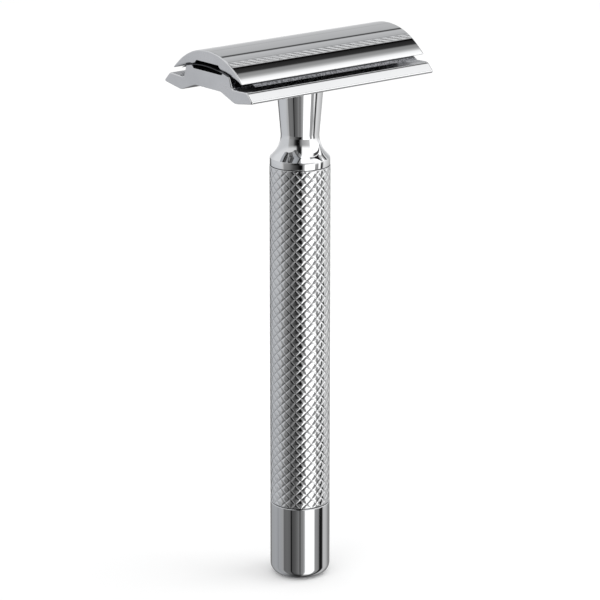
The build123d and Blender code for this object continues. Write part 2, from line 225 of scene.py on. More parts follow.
def finish_material(name, base, rough, stain=0.04, grain=(1, 1, 1), grain_scale=2500.0,
                    grain_height=0.0, wave_height=0.0, wave_scale=160.0, metallic=1.0, fleck=0.0):
    """A worn procedural finish: smudged roughness, fine drawn grain and a slow unevenness.

    The heights are in millimetres. A fleck darkens the low spots of the grain by that share.
    """
    material = bpy.data.materials.new(name)
    material.use_nodes = True
    n = Nodes(material.node_tree)
    place = n.add("ShaderNodeTexCoord").outputs["Object"]
    smudge = n.noise(place, SMUDGE_SCALE, 3.0, 0.6)
    drawn = n.noise(n.stretched(place, grain), grain_scale, 2.0, 0.6)
    darker = tuple(c * (1 - stain) for c in base)
    colour = n.ramp(smudge, [(0.3, darker), (0.62, base)])
    if fleck:
        flecked = n.ramp(drawn, [(0.40, tuple(c * (1 - fleck) for c in base)), (0.58, base)])
        colour = n.mix(FLECK_MIX, colour, flecked)
    low, high = rough
    mixed = n.math("ADD", n.math("MULTIPLY", smudge, 0.6), n.math("MULTIPLY", drawn, 0.4))
    roughness = n.spread(mixed, 0.3, 0.7, low, high)
    shader = n.add("ShaderNodeBsdfPrincipled",
                   {"Base Color": colour, "Metallic": metallic, "Roughness": roughness})
    normal = None
    if wave_height:
        wave = n.noise(place, wave_scale, 1.0, 0.4)
        normal = n.add("ShaderNodeBump", {"Height": wave, "Distance": wave_height * MM, "Strength": 1.0})
    if grain_height:
        inputs = {"Height": drawn, "Distance": grain_height * MM, "Strength": 1.0}
        if normal:
            inputs["Normal"] = normal.outputs[0]
        normal = n.add("ShaderNodeBump", inputs)
    if normal:
        n.tree.links.new(normal.outputs[0], shader.inputs["Normal"])
    n.add("ShaderNodeOutputMaterial", {"Surface": shader.outputs[0]})
    return material


CHROME = (0.86, 0.865, 0.875)
chrome = finish_material("chrome_polished", CHROME, (0.008, 0.03), 0.02, grain=(0.2, 1, 1),
                         grain_height=0.00002, wave_height=0.0005, wave_scale=120)
# A lighter copy of the turned chrome for the neck: painted light.
neck_chrome_painted_light = finish_material("chrome_neck_painted_light", (0.95, 0.955, 0.965), (0.02, 0.055), 0.02,
                              grain=(1, 1, 6), grain_height=0.00004, wave_height=0.0004,
                              wave_scale=90)
# A darker copy of the same chrome for the knob, posts and plug: painted shade.
chrome_turned_painted_shade = finish_material("chrome_turned_painted_shade", (0.74, 0.745, 0.755), (0.02, 0.055), 0.02,
                                grain=(1, 1, 6), grain_height=0.00004, wave_height=0.0004,
                                wave_scale=90)
chrome_knurl = finish_material("chrome_knurled", (0.84, 0.845, 0.855), (0.05, 0.12), 0.06,
                               grain_height=0.0002)
# Darker chrome for the bottoms of the knurl's grooves: painted shade.
groove_painted_shade = finish_material("chrome_groove_painted_shade", (0.64, 0.64, 0.65), (0.10, 0.22), 0.3,
                                grain_height=0.0004)
chrome_cut = finish_material("chrome_cut_end", (0.79, 0.79, 0.805), (0.16, 0.28), 0.1,
                             grain=(1, 0.15, 1), grain_scale=1800, grain_height=0.0006)
# Near-black chrome for the head's channel and the seam at the grip's top end: painted shade.
chrome_recess_painted_shade = finish_material("chrome_recess_painted_shade", (0.10, 0.10, 0.105), (0.45, 0.65), 0.3,
                                grain_height=0.001)
chrome_trough = finish_material("chrome_trough_satin", (0.68, 0.69, 0.72), (0.22, 0.36), 0.3,
                                grain=(2.5, 1.5, 1), grain_scale=1500, grain_height=0.004,
                                fleck=0.6)
steel = finish_material("machined_steel", (0.60, 0.61, 0.63), (0.2, 0.34), 0.1, grain=(1, 1, 8),
                        grain_scale=1500, grain_height=0.0006)
# Dark lacquered blade steel, kept this dark also as painted shade in the gap under the cap's lip.
blade_steel = finish_material("blade_lacquered_steel_gap_shade", (0.13, 0.132, 0.14), (0.22, 0.36), 0.2,
                              grain=(0.1, 1, 1), grain_scale=2200, grain_height=0.0005)
blade_edge_steel = finish_material("blade_honed_edge", (0.66, 0.67, 0.71), (0.22, 0.4), 0.4,
                                   grain=(2.5, 1.5, 1), grain_scale=1500, grain_height=0.006,
                                   fleck=0.85)
brass = finish_material("machined_brass", (0.76, 0.56, 0.26), (0.18, 0.32), 0.12, grain=(1, 1, 8),
                        grain_scale=1500, grain_height=0.0006)
nylon = finish_material("natural_nylon", (0.80, 0.78, 0.72), (0.4, 0.55), 0.08, metallic=0.0,
                        grain_height=0.002, grain_scale=1200)
rubber = finish_material("black_rubber", (0.022, 0.022, 0.024), (0.6, 0.8), 0.3, metallic=0.0,
                         grain_height=0.003, grain_scale=900)


# ---------------------------------------------------------------------------
# Mesh helpers, all in millimetres
# ---------------------------------------------------------------------------
def make_piece(name, verts, faces, materials, sharp=40.0):
    mesh = bpy.data.meshes.new(name)
    mesh.from_pydata([tuple(float(c) * MM for c in v) for v in verts], [], faces)
    piece = bpy.data.objects.new(name, mesh)
    SCENE.collection.objects.link(piece)
    for material in materials:
        mesh.materials.append(material)
    tidy(piece, sharp)
    return piece


def tidy(piece, sharp=40.0):
    """Merge doubled points, turn every face outwards and mark the real edges."""
    mesh = piece.data
    bm = bmesh.new()
    bm.from_mesh(mesh)
    bmesh.ops.remove_doubles(bm, verts=bm.verts, dist=1e-7)
    bmesh.ops.dissolve_degenerate(bm, edges=bm.edges, dist=1e-8)
    bmesh.ops.recalc_face_normals(bm, faces=bm.faces)
    bm.to_mesh(mesh)
    bm.free()
    mesh.polygons.foreach_set("use_smooth", [True] * len(mesh.polygons))
    mesh.set_sharp_from_angle(angle=radians(sharp))
    mesh.update()


def weight_normals(piece):
    modifier = piece.modifiers.new("even_normals", "WEIGHTED_NORMAL")
    modifier.keep_sharp = True
    modifier.weight = 80


def place_piece(piece, body, slot, *replaced):
    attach(piece, body)
    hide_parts(*replaced)


def arc_points(radius, centre_z, y_start, y_end, steps):
    ys = np.linspace(y_start, y_end, steps + 1)
    return [(y, centre_z + sqrt(radius**2 - y**2)) for y in ys]


def rounded(corners, step=8.0):
    """Closed outline through (u, v) or (u, v, radius) corners, each corner rounded by its radius."""
    points = []
    count = len(corners)
    for i, corner in enumerate(corners):
        here = Vector(corner[:2])
        radius = corner[2] if len(corner) > 2 else 0.0
        if not radius:
            points.append(tuple(here))
            continue
        before = Vector(corners[i - 1][:2]) - here
        after = Vector(corners[(i + 1) % count][:2]) - here
        half = before.angle(after) / 2
        reach = radius / tan(half)
        start = here + before.normalized() * reach
        end = here + after.normalized() * reach
        centre = here + (before.normalized() + after.normalized()).normalized() * (radius / sin(half))
        a0 = atan2(start.y - centre.y, start.x - centre.x)
        a1 = atan2(end.y - centre.y, end.x - centre.x)
        turn = (a1 - a0 + pi) % (2 * pi) - pi
        steps = max(2, ceil(abs(degrees(turn)) / step))
        for k in range(steps + 1):
            angle = a0 + turn * k / steps
            points.append((centre.x + radius * cos(angle), centre.y + radius * sin(angle)))
    return points


def ramp_up(value, start, width):
    """0 up to the start, then rising to 1 over the width."""
    return min(1.0, max(0.0, (value - start) / width))


def inset_outline(outline, distance, share):
    """The closed outline moved inwards by the distance times share(point)."""
    points = [Vector(p) for p in outline]
    count = len(points)
    area = sum(points[i - 1].x * points[i].y - points[i].x * points[i - 1].y for i in range(count))
    side = 1 if area > 0 else -1
    moved = []
    for i, point in enumerate(points):
        a = (point - points[i - 1]).normalized()
        b = (points[(i + 1) % count] - point).normalized()
        na = Vector((-a.y, a.x)) * side
        nb = Vector((-b.y, b.x)) * side
        reach = distance * share(point)
        moved.append(point + (na + nb) * (reach / max(0.4, 1 + na.dot(nb))))
    return moved


def bar_piece(name, outline, half_length, edge, materials, share):
    """Run a (y, z) outline along X, with the end edges rounded by the radius edge.

    share(point) makes the rounding shallower where the outline has a thin lip or a tight corner.
    """
    steps = 4
    stations = []
    for k in range(steps, -1, -1):
        angle = pi / 2 * k / steps
        stations.append((-(half_length - edge + edge * sin(angle)), edge * (1 - cos(angle))))
    stations += [(-x, inset) for x, inset in reversed(stations)]
    verts = []
    for x, inset in stations:
        verts += [(x, p[0], p[1]) for p in inset_outline(outline, inset, share)]
    count = len(outline)
    faces = []
    for s in range(len(stations) - 1):
        for i in range(count):
            j = (i + 1) % count
            faces.append((s * count + i, s * count + j, (s + 1) * count + j, (s + 1) * count + i))
    faces.append(tuple(range(count)))
    faces.append(tuple((len(stations) - 1) * count + i for i in reversed(range(count))))
    return make_piece(name, verts, faces, materials)


def lathe_piece(name, profile, materials, segments=160, sharp=40.0):
    """Turn a closed (radius, z) profile about the handle's axis. Points on the axis are poles."""
    verts = []
    rings = []
    for r, z in profile:
        if r < 1e-6:
            rings.append([len(verts)])
            verts.append((0, 0, z))
            continue
        start = len(verts)
        for k in range(segments):
            angle = 2 * pi * k / segments
            verts.append((r * cos(angle), r * sin(angle), z))
        rings.append(list(range(start, start + segments)))
    faces = []
    count = len(rings)
    for i in range(count):
        a = rings[i]
        b = rings[(i + 1) % count]
        if len(a) == 1 and len(b) == 1:
            continue
        for k in range(segments):
            m = (k + 1) % segments
            if len(a) == 1:
                faces.append((a[0], b[m], b[k]))
            elif len(b) == 1:
                faces.append((a[k], a[m], b[0]))
            else:
                faces.append((a[k], a[m], b[m], b[k]))
    return make_piece(name, verts, faces, materials, sharp)


def prism(outline, low, high):
    """Upright prism over an (x, y) outline, used only for cutting."""
    count = len(outline)
    verts = [(x, y, low) for x, y in outline] + [(x, y, high) for x, y in outline]
    faces = [tuple(reversed(range(count))), tuple(range(count, 2 * count))]
    for i in range(count):
        j = (i + 1) % count
        faces.append((i, j, count + j, count + i))
    return make_piece("cutter", verts, faces, [])


def circle(x, y, radius, segments=64):
    return [(x + radius * cos(2 * pi * k / segments), y + radius * sin(2 * pi * k / segments))
            for k in range(segments)]


def cut(piece, cutters):
    """Take the cutters out of the piece for good, and drop them."""
    for cutter in cutters:
        modifier = piece.modifiers.new("cut", "BOOLEAN")
        modifier.operation = "DIFFERENCE"
        modifier.solver = "EXACT"
        modifier.object = cutter
    bake_modifiers(piece)
    for cutter in cutters:
        mesh = cutter.data
        bpy.data.objects.remove(cutter)
        bpy.data.meshes.remove(mesh)


def bake_modifiers(piece):
    bpy.context.view_layer.update()
    graph = bpy.context.evaluated_depsgraph_get()
    mesh = bpy.data.meshes.new_from_object(piece.evaluated_get(graph))
    old = piece.data
    piece.modifiers.clear()
    piece.data = mesh
    mesh.name = piece.name
    bpy.data.meshes.remove(old)


def paint_faces(piece, index, test):
    """Give a material slot to every face whose centre (mm) and normal pass the test."""
    for face in piece.data.polygons:
        if test(face.center / MM, face.normal):
            face.material_index = index


# ---------------------------------------------------------------------------
# Head
# ---------------------------------------------------------------------------
def cap_outline():
    under = BLADE_BEND + BLADE_THICK / 2 + BLADE_GAP
    outer = arc_points(CAP_RADIUS, CAP_CENTRE_Z, -CAP_HALF, CAP_HALF, 96)
    right = arc_points(under, BLADE_CENTRE_Z, CAP_HALF, CHANNEL_MOUTH, 10)
    left = [(-y, z) for y, z in reversed(right)]
    lip_top = outer[-1][1]
    lip_foot = right[0][1]
    tip_right = [(CAP_HALF, lip_top, CAP_LIP_ROUND), (CAP_HALF, lip_foot, CAP_LIP_ROUND)]
    tip_left = [(-CAP_HALF, lip_foot, CAP_LIP_ROUND), (-CAP_HALF, lip_top, CAP_LIP_ROUND)]
    roof = [
        (CHANNEL_KNEE[0], CHANNEL_KNEE[1], 0.2),
        (CHANNEL_ROOF_HALF, CHANNEL_ROOF_Z, 0.25),
        (-CHANNEL_ROOF_HALF, CHANNEL_ROOF_Z, 0.25),
        (-CHANNEL_KNEE[0], CHANNEL_KNEE[1], 0.2),
    ]
    return rounded(outer[1:-1] + tip_right + right[1:] + roof + left[:-1] + tip_left)


def in_channel(centre):
    return abs(centre.x) < HEAD_HALF - 0.3 and abs(centre.y) < CHANNEL_MOUTH - 0.05


def cap_edge_share(point):
    """The end edge gets shallower towards the thin lip and round the channel."""
    if abs(point.x) < CHANNEL_MOUTH + 0.1 and point.y < CHANNEL_ROOF_Z + 0.3:
        return TIGHT_SHARE
    from_lip = ramp_up(CAP_HALF - abs(point.x), LIP_PLAIN, LIP_GROWTH)
    return LIP_SHARE + (1 - LIP_SHARE) * from_lip


cap = bar_piece("cap_shell", cap_outline(), HEAD_HALF, CAP_END_EDGE,
                [chrome, chrome_cut, chrome_recess_painted_shade], cap_edge_share)
paint_faces(cap, 1, lambda c, n: abs(n.x) > 0.95)
# The channel's inside takes the near-black recess material: painted shade.
paint_faces(cap, 2, lambda c, n: in_channel(c) and c.z < CHANNEL_ROOF_Z + 0.1 and n.z < 0.3)
weight_normals(cap)
place_piece(cap, "cap", "chrome", "top_cap")


def guard_outline():
    """Section across the guard, from the middle of its underside outwards and back over the top."""
    rest = BLADE_BEND - BLADE_THICK / 2 - BLADE_GAP
    ledge = [(CHANNEL_MOUTH, BLADE_CENTRE_Z + sqrt(rest**2 - CHANNEL_MOUTH**2), 0.15)]
    shoulder = [(REST_OUTER, BLADE_CENTRE_Z + sqrt(rest**2 - REST_OUTER**2), 0.6)]
    half = [
        (3.7, PLATE_UNDERSIDE_Z, 2.0),
        (7.75, 94.78, 2.5),          # underside of the bar
        (12.95, 95.58, 0.35),        # its tip
        (11.1, 97.4, 1.1),           # its ridge
        (7.0, 97.26, 0.7),           # inner corner of the trough
        *shoulder,
        *ledge,
        (4.02, PLATFORM_FLOOR_Z, 0.15),
    ]
    mirrored = [(-y, z, r) for y, z, r in reversed(half)]
    return rounded(half + mirrored, step=6.0)


def in_trough(centre, normal):
    return REST_OUTER + 0.15 < abs(centre.y) < 10.4 and centre.z < 97.6 and normal.z > 0.9


def guard_edge_share(point):
    """The end edge is rounded most along the trough and down the outside of each bar."""
    outwards = ramp_up(abs(point.x), REST_OUTER + 0.05, 0.8)
    upwards = ramp_up(point.y, BAR_FOOT_Z, 0.4)
    return TIGHT_SHARE + (1 - TIGHT_SHARE) * outwards * upwards


guard = bar_piece("guard_casting", guard_outline(), HEAD_HALF, GUARD_END_EDGE,
                  [chrome, chrome_cut, chrome_recess_painted_shade, chrome_trough], guard_edge_share)
cutters = [
    prism(circle(0, 0, NECK_SPIGOT_RADIUS + CLEAR), PLATE_UNDERSIDE_Z - 1, CROWN_Z),
    prism(circle(0, 0, NUT_RECESS_RADIUS), NUT_RECESS_FLOOR_Z, CROWN_Z),
    prism(circle(0, 0, NECK_SEAT_RADIUS), PLATE_UNDERSIDE_Z - 3, PLATE_UNDERSIDE_Z - 0.001),
]
cutters += [prism(circle(x, 0, POST_RADIUS + 0.05), PLATE_UNDERSIDE_Z - 2, CROWN_Z)
            for x in (-POST_X, POST_X)]
cut(guard, cutters)
tidy(guard)
paint_faces(guard, 0, lambda c, n: True)
paint_faces(guard, 1, lambda c, n: abs(n.x) > 0.95 and abs(c.x) > HEAD_HALF - 0.2)
# The channel and the recesses in the plate take the near-black material: painted shade.
paint_faces(guard, 2, lambda c, n: in_channel(c) and c.z > PLATE_UNDERSIDE_Z + 0.05)
paint_faces(guard, 3, in_trough)
weight_normals(guard)
place_piece(guard, "handle", "chrome", "guard_plate")


def blade_piece():
    """Flat sheet with its cut-outs, ground thin at both long edges, then bent over the plate."""
    half = BLADE_THICK / 2
    edges = [9.9, BLADE_BEVEL, 10.62, 10.86, BLADE_HALF_WIDTH]
    inner = list(np.linspace(-9.6, 9.6, 49))
    rows = [-y for y in reversed(edges)] + inner + edges
    verts = []
    faces = []
    for y in rows:
        for x in (-BLADE_HALF_LENGTH, BLADE_HALF_LENGTH):
            for z in (-half, half):
                verts.append((x, y, z))
    for i in range(len(rows) - 1):
        a = i * 4
        b = a + 4
        faces += [(a, a + 2, b + 2, b), (a + 1, b + 1, b + 3, a + 3), (a, b, b + 1, a + 1),
                  (a + 2, a + 3, b + 3, b + 2)]
    last = (len(rows) - 1) * 4
    faces += [(0, 1, 3, 2), (last, last + 2, last + 3, last + 1)]
    piece = make_piece("blade_honed", verts, faces, [blade_steel, blade_edge_steel], sharp=30)
    slot_x, slot_y = BLADE_SLOT_HALF
    slot = rounded([(sx * slot_x, sy * slot_y, BLADE_SLOT_ROUND)
                    for sx, sy in ((-1, -1), (1, -1), (1, 1), (-1, 1))])
    tools = [prism(slot, -1, 1), prism(circle(0, 0, BLADE_STUD_HOLE), -1, 1)]
    tools += [prism(circle(x, 0, BLADE_POST_HOLE), -1, 1) for x in (-POST_X, POST_X)]
    past_x = BLADE_HALF_LENGTH + 1.5
    past_y = BLADE_HALF_WIDTH + 1.0
    for sx in (-1, 1):
        for sy in (-1, 1):
            corner = [(sx * BLADE_EDGE_HALF, sy * BLADE_TAB_HALF, 0.3),
                      (sx * past_x, sy * BLADE_TAB_HALF), (sx * past_x, sy * past_y),
                      (sx * BLADE_EDGE_HALF, sy * past_y)]
            tools.append(prism(rounded(corner), -1, 1))
    cut(piece, tools)
    for vertex in piece.data.vertices:
        x, s, h = (c / MM for c in vertex.co)
        ground = ramp_up(abs(s), BLADE_BEVEL, BLADE_HALF_WIDTH - BLADE_BEVEL)
        h *= 1 - BLADE_BEVEL_THINNING * ground
        angle = s / BLADE_BEND
        radius = BLADE_BEND + h
        bent = (x, radius * sin(angle), BLADE_CENTRE_Z + radius * cos(angle))
        vertex.co = [c * MM for c in bent]
    tidy(piece, sharp=30)
    # The whole blade takes the dark steel first: lacquer colour, and painted shade in the gap under the
    # cap.
    paint_faces(piece, 0, lambda c, n: True)
    rim = BLADE_BEND * sin(BLADE_BEVEL / BLADE_BEND)
    paint_faces(piece, 1, lambda c, n: abs(c.y) > rim)
    return piece


blade = blade_piece()
place_piece(blade, "blade", "blade_steel", "razor_blade")


def post_piece(side):
    foot = post_low[2]
    flat = POST_RADIUS - POST_NOSE
    chamfer = 0.15
    profile = [(0, foot), (flat, foot)]
    profile += [(flat + POST_NOSE * sin(a), foot + POST_NOSE * (1 - cos(a)))
                for a in (pi / 8, pi / 4, 3 * pi / 8, pi / 2)]
    profile += [(POST_RADIUS, CHANNEL_ROOF_Z - chamfer), (POST_RADIUS + chamfer, CHANNEL_ROOF_Z),
                (POST_RADIUS + chamfer, post_high[2]), (0, post_high[2])]
    name = "post_left" if side < 0 else "post_right"
    piece = lathe_piece(name, profile, [chrome_turned_painted_shade], segments=64)
    piece.data.transform(Matrix.Translation((side * POST_X * MM, 0, 0)))
    return piece


for side, node in ((-1, "cap_post_left"), (1, "cap_post_right")):
    post = post_piece(side)
    weight_normals(post)
    place_piece(post, "cap", "chrome", node)


def stud_piece():
    """M4 stud: a right-hand thread of trapezoid section, a tapered tip and a shoulder."""
    columns = 48
    per_pitch = 14
    low = stud_low[2]
    flange_low = CHANNEL_ROOF_Z - STUD_FLANGE_THICK
    rows = int((flange_low - low) / STUD_PITCH * per_pitch)
    verts = []
    for j in range(rows + 1):
        z = low + (flange_low - low) * j / rows
        for i in range(columns):
            phase = ((z - low) / STUD_PITCH - i / columns) % 1.0
            rise = ramp_up(0.5 - abs(phase - 0.5), STUD_ROOT_FLAT, STUD_FLANK)
            taper = ramp_up(z, low, STUD_TIP_LENGTH)
            r = STUD_ROOT_RADIUS + (STUD_CREST_RADIUS - STUD_ROOT_RADIUS) * rise
            r = min(r, STUD_TIP_RADIUS + (STUD_SHANK_RADIUS - STUD_TIP_RADIUS) * taper)
            angle = 2 * pi * i / columns
            verts.append((r * cos(angle), r * sin(angle), z))
    top = [(STUD_FLANGE_RADIUS, flange_low), (STUD_FLANGE_RADIUS, CHANNEL_ROOF_Z),
           (STUD_SHANK_RADIUS, CHANNEL_ROOF_Z), (STUD_SHANK_RADIUS, stud_high[2])]
    for r, z in top:
        for i in range(columns):
            angle = 2 * pi * i / columns
            verts.append((r * cos(angle), r * sin(angle), z))
    rings = rows + 1 + len(top)
    faces = []
    for j in range(rings - 1):
        for i in range(columns):
            m = (i + 1) % columns
            faces.append((j * columns + i, j * columns + m, (j + 1) * columns + m, (j + 1) * columns + i))
    faces.append(tuple(reversed(range(columns))))
    faces.append(tuple(range((rings - 1) * columns, rings * columns)))
    return make_piece("stud_threaded", verts, faces, [steel], sharp=50)


stud = stud_piece()
place_piece(stud, "cap", "steel", "cap_stud")


# ---------------------------------------------------------------------------
# Neck, grip and knob
# ---------------------------------------------------------------------------
def waist_point(angle):
    lean = radians(angle)
    return (NECK_WAIST_RADIUS + NECK_WAIST_CURVE * (1 - cos(lean)),
            NECK_WAIST_Z + NECK_WAIST_CURVE * sin(lean))


def neck_profile():
    flare_top = waist_point(-NECK_FLARE_ANGLE)
    cone_foot = waist_point(NECK_CONE_ANGLE)
    shoulder_z = flare_top[1] - (COLLAR_SHOULDER_RADIUS - flare_top[0]) / tan(radians(NECK_FLARE_ANGLE))
    top_radius = cone_foot[0] + (PLATE_UNDERSIDE_Z - cone_foot[1]) * tan(radians(NECK_CONE_ANGLE))
    waist = [waist_point(a) for a in np.linspace(-NECK_FLARE_ANGLE, NECK_CONE_ANGLE, 32)]
    cone = [(r, z) for r, z in zip(np.linspace(cone_foot[0], top_radius, 5)[1:],
                                   np.linspace(cone_foot[1], PLATE_UNDERSIDE_Z, 5)[1:])]
    collar_foot = tube_high[2] + 0.005
    chamfer = 0.3
    corners = [
        (NUT_NOSE_BORE, neck_low[2]),
        (TUBE_BORE - chamfer, neck_low[2]),
        (TUBE_BORE - CLEAR, neck_low[2] + chamfer),
        (TUBE_BORE - CLEAR, collar_foot),
        (COLLAR_RADIUS, collar_foot, 0.1),
        (COLLAR_RADIUS, shoulder_z, 0.1),
        *waist,
        *cone,
        (NECK_SPIGOT_RADIUS, PLATE_UNDERSIDE_Z),
        (NECK_SPIGOT_RADIUS, neck_high[2]),
        (STUD_BORE, neck_high[2]),
        (STUD_BORE, NECK_BORE_STEP_Z),
        (NUT_NOSE_BORE, NECK_BORE_STEP_Z),
    ]
    return rounded(corners, step=15.0)


neck = lathe_piece("neck_turned", neck_profile(), [neck_chrome_painted_light], sharp=35)
weight_normals(neck)
place_piece(neck, "handle", "chrome", "neck")


def knurl_height(u, v):
    """How far the surface of a knurl cell lies below the full size, for u, v within the cell."""
    near = np.minimum(np.minimum(u, 1 - u), np.minimum(v, 1 - v))
    groove = np.clip(1 - near / KNURL_HALF_WIDTH, 0, 1)
    crown = 1 - 16 * u * (1 - u) * v * (1 - v)
    return KNURL_DEPTH * groove + KNURL_CROWN * crown


def knurl_skin(bm):
    """Two crossing families of V grooves, which leave crowned diamonds. A bit longer than the tube."""
    marks = [0.0, KNURL_VALLEY, KNURL_HALF_WIDTH, 0.28, 0.5, 0.72, 1 - KNURL_HALF_WIDTH, 1 - KNURL_VALLEY]
    n = len(marks)
    row_low = int(tube_low[2] / (KNURL_PITCH / 2)) - 2
    row_high = int(tube_high[2] / (KNURL_PITCH / 2)) + 2
    made = {}

    def vertex(cell_s, cell_t, a, b):
        s_key = cell_s * n + a
        t_key = cell_t * n + b
        key = (s_key - t_key, (s_key + t_key) % (2 * KNURL_STARTS * n))
        if key not in made:
            u = marks[s_key % n]
            v = marks[t_key % n]
            s = s_key // n + u
            t = t_key // n + v
            angle = (s + t) * pi / KNURL_STARTS
            r = TUBE_RADIUS - float(knurl_height(u, v))
            made[key] = bm.verts.new((r * cos(angle), r * sin(angle), (s - t) * KNURL_PITCH / 2))
        return made[key]

    for row in range(row_low, row_high):
        for column in range(2 * KNURL_STARTS):
            if (row + column) % 2:
                continue
            cell_s = (column + row) // 2
            cell_t = (column - row) // 2
            for a in range(n):
                for b in range(n):
                    face = bm.faces.new((
                        vertex(cell_s, cell_t, a, b), vertex(cell_s, cell_t, a + 1, b),
                        vertex(cell_s, cell_t, a + 1, b + 1), vertex(cell_s, cell_t, a, b + 1)))
                    # The faces at the bottom of each groove take the darker groove material: painted
                    # shade.
                    valley_painted_shade = a in (0, n - 1) or b in (0, n - 1)
                    face.material_index = int(valley_painted_shade)


def turn_of(vertex):
    return atan2(vertex.co.y, vertex.co.x)


def ring(bm, angles, radii, z):
    return [bm.verts.new((r * cos(a), r * sin(a), z)) for a, r in zip(angles, radii)]


def band(bm, lower, upper, material=0):
    """Faces between two rings with the same number of points."""
    count = len(lower)
    for k in range(count):
        m = (k + 1) % count
        bm.faces.new((lower[k], lower[m], upper[m], upper[k])).material_index = material


def stitch(bm, outer, inner):
    """Faces between two rings with different numbers of points."""
    i = j = 0
    a = [turn_of(v) for v in outer]
    b = [turn_of(v) for v in inner]
    while i < len(a) or j < len(b):
        next_a = a[i + 1] if i + 1 < len(a) else a[0] + 2 * pi
        next_b = b[j + 1] if j + 1 < len(b) else b[0] + 2 * pi
        here_a = outer[i % len(a)]
        here_b = inner[j % len(b)]
        if j >= len(b) or (i < len(a) and next_a <= next_b):
            bm.faces.new((here_a, outer[(i + 1) % len(a)], here_b))
            i += 1
        else:
            bm.faces.new((here_a, inner[(j + 1) % len(b)], here_b))
            j += 1


def grip_end(bm, loop, side, z_end):
    """Close the skin's cut edge with a rounded rim and an end face. Returns the bore's ring."""
    angles = [turn_of(v) for v in loop]
    count = len(loop)
    lip_radii = [min(v.co.xy.length + 0.02, TUBE_RADIUS - 0.02) for v in loop]
    mid_in, mid_along = TUBE_END_MID
    lip = ring(bm, angles, lip_radii, z_end - side * TUBE_END_ROUND)
    edge = ring(bm, angles, [TUBE_RADIUS - mid_in] * count, z_end - side * mid_along)
    corner = ring(bm, angles, [TUBE_RADIUS - TUBE_END_ROUND] * count, z_end)
    band(bm, loop, lip)
    band(bm, lip, edge)
    # At the top end this band takes the near-black material: painted shade in the seam under the neck's
    # collar.
    band(bm, edge, corner, 2 if side > 0 else 0)
    segments = 96
    even = [-pi + 2 * pi * k / segments for k in range(segments)]
    bore = ring(bm, even, [TUBE_BORE + CLEAR] * segments, z_end)
    stitch(bm, corner, bore)
    return bore


def grip_piece():
    """Knurled tube with a plain rim at each end, and its bore."""
    low = tube_low[2]
    high = tube_high[2]
    bm = bmesh.new()
    knurl_skin(bm)
    trims = ((low + KNURL_MARGIN, -1), (high - KNURL_MARGIN, 1))
    for z, side in trims:
        geometry = bm.verts[:] + bm.edges[:] + bm.faces[:]
        bmesh.ops.bisect_plane(bm, geom=geometry, dist=1e-5, plane_co=(0, 0, z), plane_no=(0, 0, side),
                               clear_outer=True)
    bm.verts.ensure_lookup_table()
    loops = {}
    for z, side in trims:
        loops[side] = sorted((v for v in bm.verts if abs(v.co.z - z) < 1e-4 and v.is_boundary),
                             key=turn_of)
    low_bore = grip_end(bm, loops[-1], -1, low)
    high_bore = grip_end(bm, loops[1], 1, high)
    band(bm, low_bore, high_bore)
    mesh = bpy.data.meshes.new("grip_knurled")
    bmesh.ops.recalc_face_normals(bm, faces=bm.faces)
    bmesh.ops.scale(bm, vec=(MM, MM, MM), verts=bm.verts)
    bm.to_mesh(mesh)
    bm.free()
    for material in (chrome_knurl, groove_painted_shade, chrome_recess_painted_shade):
        mesh.materials.append(material)
    mesh.polygons.foreach_set("use_smooth", [True] * len(mesh.polygons))
    mesh.set_sharp_from_angle(angle=radians(48))
    piece = bpy.data.objects.new("grip_knurled", mesh)
    SCENE.collection.objects.link(piece)
    return piece


grip = grip_piece()
place_piece(grip, "handle", "knurled_chrome", "handle_tube")


def knob_profile():
    groove_low = RING_GROOVE_Z - RING_GROOVE_HALF
    groove_high = RING_GROOVE_Z + RING_GROOVE_HALF
    seat = PLUG_RADIUS + 2 * CLEAR
    r = KNOB_FOOT_ROUND
    foot = [(KNOB_RADIUS - r + r * sin(a), r - r * cos(a)) for a in np.linspace(0, pi / 2, 17)]
    corners = [
        (SCREW_SEAT_RADIUS, PLUG_SEAT_Z),
        (seat, PLUG_SEAT_Z),
        (seat, 0.0, 0.06),
        *foot,
        (KNOB_RADIUS, 5.0),
        (KNOB_RADIUS, 9.0),
        (KNOB_RADIUS, KNOB_HEIGHT, 0.16),
        (KNOB_SPIGOT_RADIUS, KNOB_HEIGHT),
        (KNOB_SPIGOT_RADIUS, groove_low),
        (RING_GROOVE_RADIUS, groove_low),
        (RING_GROOVE_RADIUS, groove_high),
        (KNOB_SPIGOT_RADIUS, groove_high),
        (KNOB_SPIGOT_RADIUS, knob_high[2]),
        (ROD_SOCKET_RADIUS, knob_high[2]),
        (ROD_SOCKET_RADIUS, ROD_SOCKET_FLOOR_Z),
        (SCREW_HOLE_RADIUS, ROD_SOCKET_FLOOR_Z),
        (SCREW_HOLE_RADIUS, SCREW_SEAT_Z),
        (SCREW_SEAT_RADIUS, SCREW_SEAT_Z),
    ]
    return rounded(corners, step=12.0)


knob = lathe_piece("knob_turned", knob_profile(), [chrome_turned_painted_shade], sharp=35)
weight_normals(knob)
place_piece(knob, "spindle", "chrome", "twist_knob")


def plug_profile():
    """A disc, slightly dished on its outer face."""
    foot = plug_low[2]
    rim = PLUG_RADIUS - 0.03
    return rounded([(0, foot + 0.06), (2.2, foot + 0.03), (rim, foot, 0.12), (rim, plug_high[2]),
                    (0, plug_high[2])], step=15.0)


plug = lathe_piece("plug_disc", plug_profile(), [chrome_turned_painted_shade], segments=96, sharp=35)
weight_normals(plug)
place_piece(plug, "spindle", "chrome", "knob_plug")


# ---------------------------------------------------------------------------
# Pieces that keep their CAD mesh
# ---------------------------------------------------------------------------
KEPT = {
    "plate_nut": brass,
    "draw_nut": brass,
    "thrust_washer": nylon,
    "spindle_bush": nylon,
    "foot_bush": nylon,
    "disc_spring": steel,
    "nut_pin": steel,
    "draw_rod": steel,
    "knob_screw": steel,
    "friction_ring": rubber,
}
for node, material in KEPT.items():
    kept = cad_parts[node]
    for slot_place in kept.material_slots:
        slot_place.material = material


